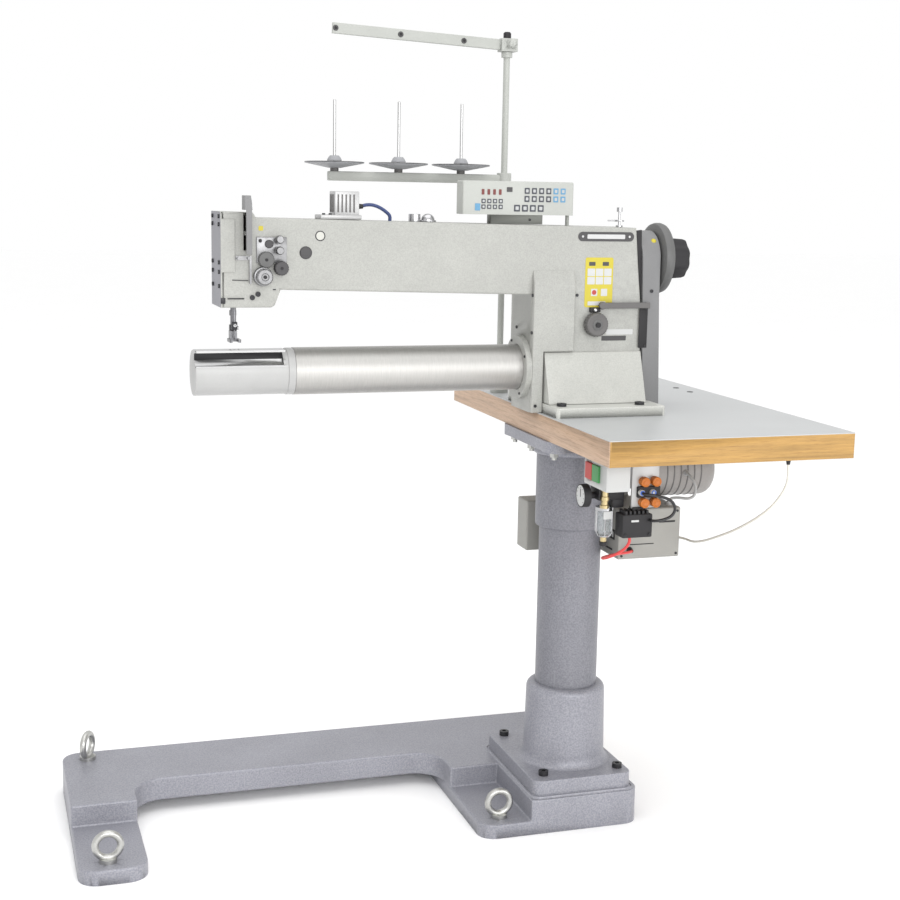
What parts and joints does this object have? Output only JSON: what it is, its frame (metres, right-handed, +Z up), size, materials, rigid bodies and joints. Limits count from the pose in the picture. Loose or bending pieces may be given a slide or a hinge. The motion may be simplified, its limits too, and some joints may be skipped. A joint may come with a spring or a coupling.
{
  "type": "leather sewing machine",
  "caption": "Long-arm cylinder-bed sewing machine for leather on a height-adjustable column stand with side table, motor under the table and overhead thread stand.",
  "frame": {"origin": "on the floor, on the axis of the column", "axes": "+X along the arm towards the handwheel, +Y to the rear, +Z up; the needle is at -X"},
  "size_m": [1.464, 0.935, 1.6774],
  "materials": {
    "hammered_base": "silver-blue hammered enamel",
    "hammered_column": "silver-blue hammered enamel",
    "zinc": "bright zinc plate",
    "black_screw": "black oxide",
    "board": "oiled oak-faced board",
    "laminate": "pale grey laminate",
    "cream_paint": "satin cream-grey enamel",
    "housing_paint": "satin cream enamel",
    "steel": "ground steel",
    "brushed_tube": "turned and brushed",
    "dark_cover": "dark grey moulding",
    "belt_rubber": "matt",
    "motor_shell": "grey enamel over aluminium",
    "box_cream": "pale cream case",
    "dark_plate": "dark grey enamel",
    "chrome_trim": "bright chrome",
    "silver_shell": "satin silver",
    "clear_dome": "clear dome on a steel fitting",
    "panel_plastic": "pale grey case",
    "switch_plastic": "light grey case",
    "black_plastic": "satin black",
    "valve_metal": "natural plate with coloured caps",
    "aluminium_bobbin": "turned",
    "wheel_paint": "cream rim with a black cap",
    "pulley_metal": "turned",
    "dark_dial": "dark grey moulding",
    "spool_dark": "black moulding with steel pins",
    "arm_paint": "pale enamel",
    "green_plastic": "satin green",
    "red_plastic": "satin red",
    "blue_sheath": "dark blue sheath",
    "white_sheath": "off-white sheath",
    "grey_sheath": "grey sheath",
    "black_hose": "black hose",
    "red_sheath": "red sheath"
  },
  "bodies": {
    "stand": {"base_casting": "hammered_base", "eye_bolts": "zinc", "column_foot": "hammered_base", "foot_bolts": "black_screw", "lower_column": "hammered_column"},
    "carriage": {"upper_sleeve": "hammered_column", "table_flange": "hammered_base", "flange_bolts": "zinc", "table_board": "board", "table_laminate": "laminate", "bed_plinth": "cream_paint", "arm_casting": "cream_paint", "drive_cover": "cream_paint", "front_cover": "cream_paint", "face_plate": "cream_paint", "bar_bushings": "steel", "cover_screws": "black_screw", "bed_flange": "cream_paint", "bed_tube": "brushed_tube", "hook_housing": "housing_paint", "throat_plate": "steel", "belt_guard": "dark_cover", "v_belt": "belt_rubber", "timing_belt": "belt_rubber", "motor": "motor_shell", "control_box": "box_cream", "rear_box": "box_cream", "take_up_guard": "dark_plate", "tension_plate": "chrome_trim", "thread_guides": "chrome_trim", "solenoid_box": "silver_shell", "oil_filler": "clear_dome", "pretension_post": "chrome_trim", "control_panel": "panel_plastic", "thread_rod": "steel", "switch_box": "switch_plastic", "air_regulator": "black_plastic", "valve_block": "valve_metal", "solenoid_cable": "blue_sheath", "white_cable": "white_sheath", "grey_cable": "grey_sheath", "air_hose": "black_hose", "red_cable": "red_sheath"},
    "main_shaft": {"upper_shaft": "steel", "handwheel": "wheel_paint"},
    "hook_shaft": {"lower_shaft": "steel", "rotary_hook": "steel"},
    "bobbin": {"bobbin": "aluminium_bobbin"},
    "motor_shaft": {"motor_pulley": "pulley_metal"},
    "needle_bar": {"needle_bar": "chrome_trim"},
    "presser_bar": {"presser_bar": "chrome_trim"},
    "take_up": {"take_up_lever": "chrome_trim"},
    "tension_nut": {"tension_nut": "chrome_trim"},
    "stitch_dial": {"stitch_dial": "dark_dial"},
    "reverse_lever": {"reverse_lever": "dark_dial"},
    "spool_arm": {"spool_arm": "spool_dark"},
    "guide_arm": {"guide_arm": "arm_paint"},
    "start_button": {"start_button": "green_plastic"},
    "stop_button": {"stop_button": "red_plastic"}
  },
  "joints": [
    {"name": "column_lift", "type": "slide", "parent": "stand", "child": "carriage", "axis": [0, 0, 1], "range_m": [0, 0.1]},
    {"name": "main_shaft_spin", "type": "hinge", "parent": "carriage", "child": "main_shaft", "pos_m": [0, 0, 1.2], "axis": [1, 0, 0], "continuous": true},
    {"name": "hook_spin", "type": "hinge", "parent": "carriage", "child": "hook_shaft", "pos_m": [0, 0, 0.974], "axis": [1, 0, 0], "continuous": true},
    {"name": "bobbin_spin", "type": "hinge", "parent": "hook_shaft", "child": "bobbin", "pos_m": [-0.727, 0, 0.974], "axis": [1, 0, 0], "continuous": true},
    {"name": "motor_spin", "type": "hinge", "parent": "carriage", "child": "motor_shaft", "pos_m": [0.146, 0, 0.745], "axis": [1, 0, 0], "continuous": true},
    {"name": "needle_bar_slide", "type": "slide", "parent": "carriage", "child": "needle_bar", "axis": [0, 0, 1], "range_m": [-0.032, 0]},
    {"name": "presser_bar_slide", "type": "slide", "parent": "carriage", "child": "presser_bar", "axis": [0, 0, 1], "range_m": [-0.0145, 0.004]},
    {"name": "take_up_swing", "type": "hinge", "parent": "carriage", "child": "take_up", "pos_m": [-0.7095, -0.008, 1.246], "axis": [1, 0, 0], "range_deg": [-26, 26]},
    {"name": "tension_nut_turn", "type": "hinge", "parent": "carriage", "child": "tension_nut", "pos_m": [-0.676, -0.076, 1.164], "axis": [0, 1, 0], "range_deg": [-180, 180]},
    {"name": "stitch_dial_turn", "type": "hinge", "parent": "carriage", "child": "stitch_dial", "pos_m": [0.016, -0.06, 1.066], "axis": [0, 1, 0], "range_deg": [-150, 150]},
    {"name": "reverse_lever_swing", "type": "hinge", "parent": "carriage", "child": "reverse_lever", "pos_m": [0.03, -0.06, 1.105], "axis": [0, 1, 0], "range_deg": [0, 15], "stiffness_Nm_per_rad": 2, "springref_deg": -5.73},
    {"name": "spool_arm_swing", "type": "hinge", "parent": "carriage", "child": "spool_arm", "pos_m": [-0.076, 0.262, 1.36], "axis": [0, 0, 1], "range_deg": [-60, 25]},
    {"name": "guide_arm_swing", "type": "hinge", "parent": "carriage", "child": "guide_arm", "pos_m": [-0.076, 0.262, 1.648], "axis": [0, 0, 1], "range_deg": [-60, 25]},
    {"name": "start_button_press", "type": "slide", "parent": "carriage", "child": "start_button", "axis": [1, 0, 0], "range_m": [0, 0.003], "stiffness_N_per_m": 800, "springref_m": -0.001},
    {"name": "stop_button_press", "type": "slide", "parent": "carriage", "child": "stop_button", "axis": [1, 0, 0], "range_m": [0, 0.003], "stiffness_N_per_m": 800, "springref_m": -0.001}
  ],
  "couplings": [
    {"joint": "hook_spin", "follows": "main_shaft_spin", "ratio": 2},
    {"joint": "motor_spin", "follows": "main_shaft_spin", "ratio": 1.3333}
  ]
}
